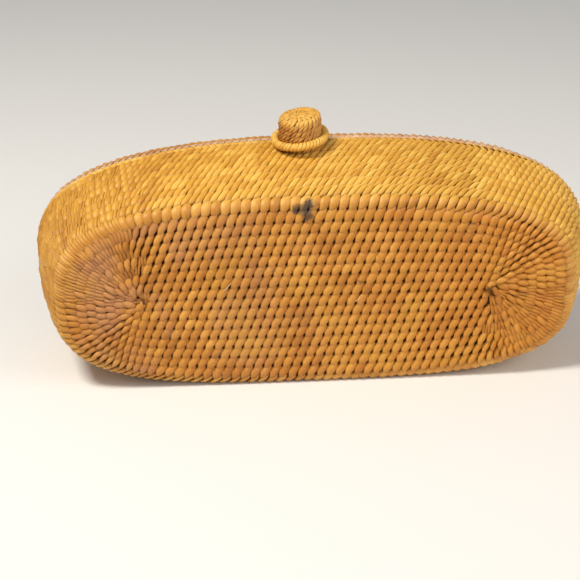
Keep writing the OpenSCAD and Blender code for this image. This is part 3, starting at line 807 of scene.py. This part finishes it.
def skin(name, outer, inner, body, node, flip):
    """A cloth skin: outer rings from the middle of its bottom to its edge, then the inner ones back."""
    rings = outer + inner[::-1]
    G = np.stack(rings)
    m_ = len(rings)
    i = np.arange(m_ - 1)[:, None]
    k = np.arange(LN)[None]
    q = np.stack([i * LN + k, i * LN + (k + 1) % LN, (i + 1) * LN + (k + 1) % LN, (i + 1) * LN + k], -1)
    caps = [np.arange(LN)[::-1], (m_ - 1) * LN + np.arange(LN)]
    if flip:
        q = q[..., ::-1]
        caps = [c[::-1] for c in caps]
    loops = np.concatenate([q.reshape(-1)] + caps)
    starts = np.concatenate([np.arange(0, q.size, 4), [q.size, q.size + LN]])
    ob = make_object(name, G.reshape(-1, 3), loops, starts, body, m_cloth)
    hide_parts(node)
    cen = G.mean(1)
    area_ = 0.0
    for a_, b_ in zip(outer[:-1], outer[1:]):
        u1, u2 = np.roll(a_, -1, 0) - a_, b_ - a_
        area_ += np.linalg.norm(np.cross(u1, u2), axis=1).sum()
    print(name, "area mm2", area_)
    return ob, area_


def wrinkle(s_, amp):
    """Soft puckers, deeper near the edge where the cloth is gathered under the rim."""
    w_ = (np.sin(tl * 23 + 1.3 * np.sin(tl * 5)) + 0.7 * np.sin(tl * 41 + 2.0) + 0.8 * np.sin(tl * 11 + s_ * 3.0)) / 2.5
    return amp * w_


fo, fi = [], []
A_, B_ = 3.95, 4.65
for s_, sq in ((0.0, 0.06), (0.0, 0.3), (0.0, 0.6), (0.0, 0.85), (0.0, 1.0)):
    y_ = Y_FACE + A_
    fo.append(oval(station(0.05), 4.3, y_, sq))
    fi.append(oval(station(0.05), 5.2, y_ + 0.65 + np.clip(wrinkle(sq * 2, 0.22 * min(sq, 1)), -0.15, 0.3), sq))
for y_ in (Y_FACE + 5.0, Y_FACE + 7.0, -19, -14, -8, -2, 3, 7, 9.85):
    k_ = (y_ - Y_FACE) / FRONT_D
    d_ = np.clip(wrinkle(y_ * 0.1, 0.30 * smooth(y_, -22, 6)), -0.2, 0.45)
    fo.append(oval(station(k_), A_ + (1.0 if y_ < Y_FACE + 6 else 0.0), y_))
    fi.append(oval(station(k_), B_ + (1.0 if y_ < Y_FACE + 6 else 0.0) + d_ * (y_ < 9), max(y_, Y_FACE + A_ + 1.2)))
lin_f, area_f = skin("front_lining_cloth", fo, fi, "front_half", "front_lining", False)

bo, bi = [], []
BP = [[24, 15], [16.5, 14.5], [11.8, 13.5], [7.8, 11.8], [4.6, 9.6], [2.3, 7], [0.9, 4.15]]


def back_ring(q0, q1, a_, extra=0.0):
    return oval(station(1.0), q0 + a_ * (1 - 0.75 * (q1 / 15) ** 3) + extra, Y_MOUTH + q1 - a_ * (q1 / 15) ** 1.2)


for sq in (0.06, 0.3, 0.6, 0.85):
    bo.append(oval(station(1.0), 24 + A_ * 0.25, Y_MOUTH + 15 - A_, sq))
    bi.append(oval(station(1.0), 24 + B_ * 0.25, Y_MOUTH + 15 - B_ - np.clip(wrinkle(sq * 2, 0.2), -0.12, 0.3), sq))
for q0, q1 in BP:
    bo.append(back_ring(q0, q1, A_))
    bi.append(back_ring(q0, q1, B_, np.clip(wrinkle(q1 * 0.1, 0.2), -0.12, 0.3) * (q1 > 5)))
lin_b, area_b = skin("back_lining_cloth", bo, bi, "back_half", "back_lining", True)


def hem(name, rings_of, body, flip):
    G = np.stack([rings_of(0.42 * math.cos(p_), 0.42 * math.sin(p_)) for p_ in np.arange(8) * 2 * math.pi / 8], 1)
    return closed_grid(name, G, body, m_cloth, flip=flip)


hem_f = hem("front_hem", lambda a_, b_: oval(station(0.9), 5.15 + a_, 9.35 + b_), "front_half", True)
hem_b = hem("back_hem", lambda a_, b_: oval(station(1.0), 6.15 + a_, Y_MOUTH + 4.7 + b_), "back_half", True)


# ------------------------------------------------------------------ loose fibres
def fibre(name, pts, rad, body, mat):
    pts = np.asarray(pts, float)
    tt_ = np.linspace(0, 1, 13)
    P3 = ((1 - tt_) ** 2)[:, None] * pts[0] + (2 * tt_ * (1 - tt_))[:, None] * pts[1] + (tt_ ** 2)[:, None] * pts[2]
    D = unit(np.gradient(P3, axis=0))
    A1 = unit(np.cross(D, [0.3, 0.2, 0.93]))
    A2 = np.cross(D, A1)
    k_ = 6
    an = np.arange(k_) * 2 * math.pi / k_
    rr_ = rad * (1 - 0.5 * tt_)[:, None, None]
    G = P3[:, None] + rr_ * (np.cos(an)[None, :, None] * A1[:, None] + np.sin(an)[None, :, None] * A2[:, None])
    i = np.arange(12)[:, None]
    k = np.arange(k_)[None]
    q = np.stack([i * k_ + k, i * k_ + (k + 1) % k_, (i + 1) * k_ + (k + 1) % k_, (i + 1) * k_ + k], -1).reshape(-1)
    loops = np.concatenate([q, np.arange(k_)[::-1], 12 * k_ + np.arange(k_)])
    starts = np.concatenate([np.arange(0, len(q), 4), [len(q), len(q) + k_]])
    return make_object(name, G.reshape(-1, 3), loops, starts, body, mat)


m_fibre = plain_rattan("fibre", (0.62, 0.44, 0.24), (0.82, 0.64, 0.40))


def on(t_, v_, h_):
    p_, _, _, U_ = frames(front, np.array([t_]), np.array([v_]), -1)
    return (p_ + h_ * U_)[0]


for i_, (a_, b_, c_, rad_) in enumerate((
        ((-36.6, Y_FACE - 1.2, 42.4), (-35.0, Y_FACE - 2.6, 44.0), (-33.4, Y_FACE - 1.4, 45.9), 0.16),
        ((15.0, Y_FACE - 1.2, 36.0), (16.2, Y_FACE - 2.2, 37.0), (17.0, Y_FACE - 1.3, 38.6), 0.14),
        (on(2.98, 11.2, 0.6), on(2.96, 11.4, 2.4), on(2.88, 11.6, 3.6), 0.17),
        (on(3.05, 11.6, 0.6), on(3.02, 11.7, 1.8), on(2.98, 12.0, 2.8), 0.13),
        (on(-0.15, 12.4, 0.6), on(-0.13, 12.5, 2.2), on(-0.08, 12.6, 3.0), 0.16))):
    fibre("fibre_%d" % i_, (a_, b_, c_), rad_, "front_half", m_fibre)


# ------------------------------------------------------------------ materials on the CAD nodes that still show
m_pin = plain_rattan("pin_rattan", (0.16, 0.07, 0.02), (0.34, 0.17, 0.06))
m_eye = plain_rattan("eye_rattan", (0.30, 0.13, 0.03), (0.52, 0.27, 0.08))
m_wood = plain_rattan("core_wood", (0.42, 0.27, 0.13), (0.62, 0.45, 0.26), scale=260.0)
m_tie = plain_rattan("tie_cord", (0.36, 0.24, 0.12), (0.58, 0.43, 0.26), scale=1500.0)
# the loop's core is coloured near black as painted shade; the other parts keep their own colours
for nm, mt in (("knob_core", m_wood), ("knob_tie", m_tie), ("closure_loop_core", m_coil_painted_shade), ("hinge_front_loops", m_eye),
               ("hinge_back_loops", m_eye), ("hinge_pins", m_pin)):
    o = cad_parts[nm]
    o.data.materials.clear()
    o.data.materials.append(mt)

# ------------------------------------------------------------------ floor and light
def stage_floor():
    bpy.ops.mesh.primitive_plane_add(size=8, location=(0, 0, 0))
    fl = bpy.context.object
    fl.name = "floor"
    mat, nt, bs = nodes_of("floor")
    bs.inputs["Base Color"].default_value = (0.78, 0.77, 0.75, 1)
    bs.inputs["Roughness"].default_value = 0.85
    fl.data.materials.append(mat)


stage_floor()


def area(name, loc, target, size, power, color=(1, 1, 1)):
    ld = bpy.data.lights.new(name, "AREA")
    ld.shape = "RECTANGLE"
    ld.size, ld.size_y = size
    ld.energy = power
    ld.color = color
    lo = bpy.data.objects.new(name, ld)
    lo.location = loc
    d = Vector(target) - Vector(loc)
    lo.rotation_euler = d.to_track_quat("-Z", "Y").to_euler()
    bpy.context.collection.objects.link(lo)


area("key", (-0.42, -0.22, 0.85), (0, 0, 0.05), (0.22, 0.22), 8.6, (1.0, 0.95, 0.86))
area("fill", (0.3, -0.95, 0.5), (0, 0, 0.05), (0.8, 0.8), 2.4, (1.0, 0.96, 0.9))
area("rim", (0.7, -0.4, 0.5), (0, 0, 0.05), (0.5, 0.5), 3.0, (1.0, 0.94, 0.84))
world = bpy.data.worlds.new("world")
world.use_nodes = True
world.node_tree.nodes["Background"].inputs[0].default_value = (0.82, 0.86, 0.95, 1)
world.node_tree.nodes["Background"].inputs[1].default_value = 0.26
bpy.context.scene.world = world
bpy.context.scene.view_settings.view_transform = "Standard"
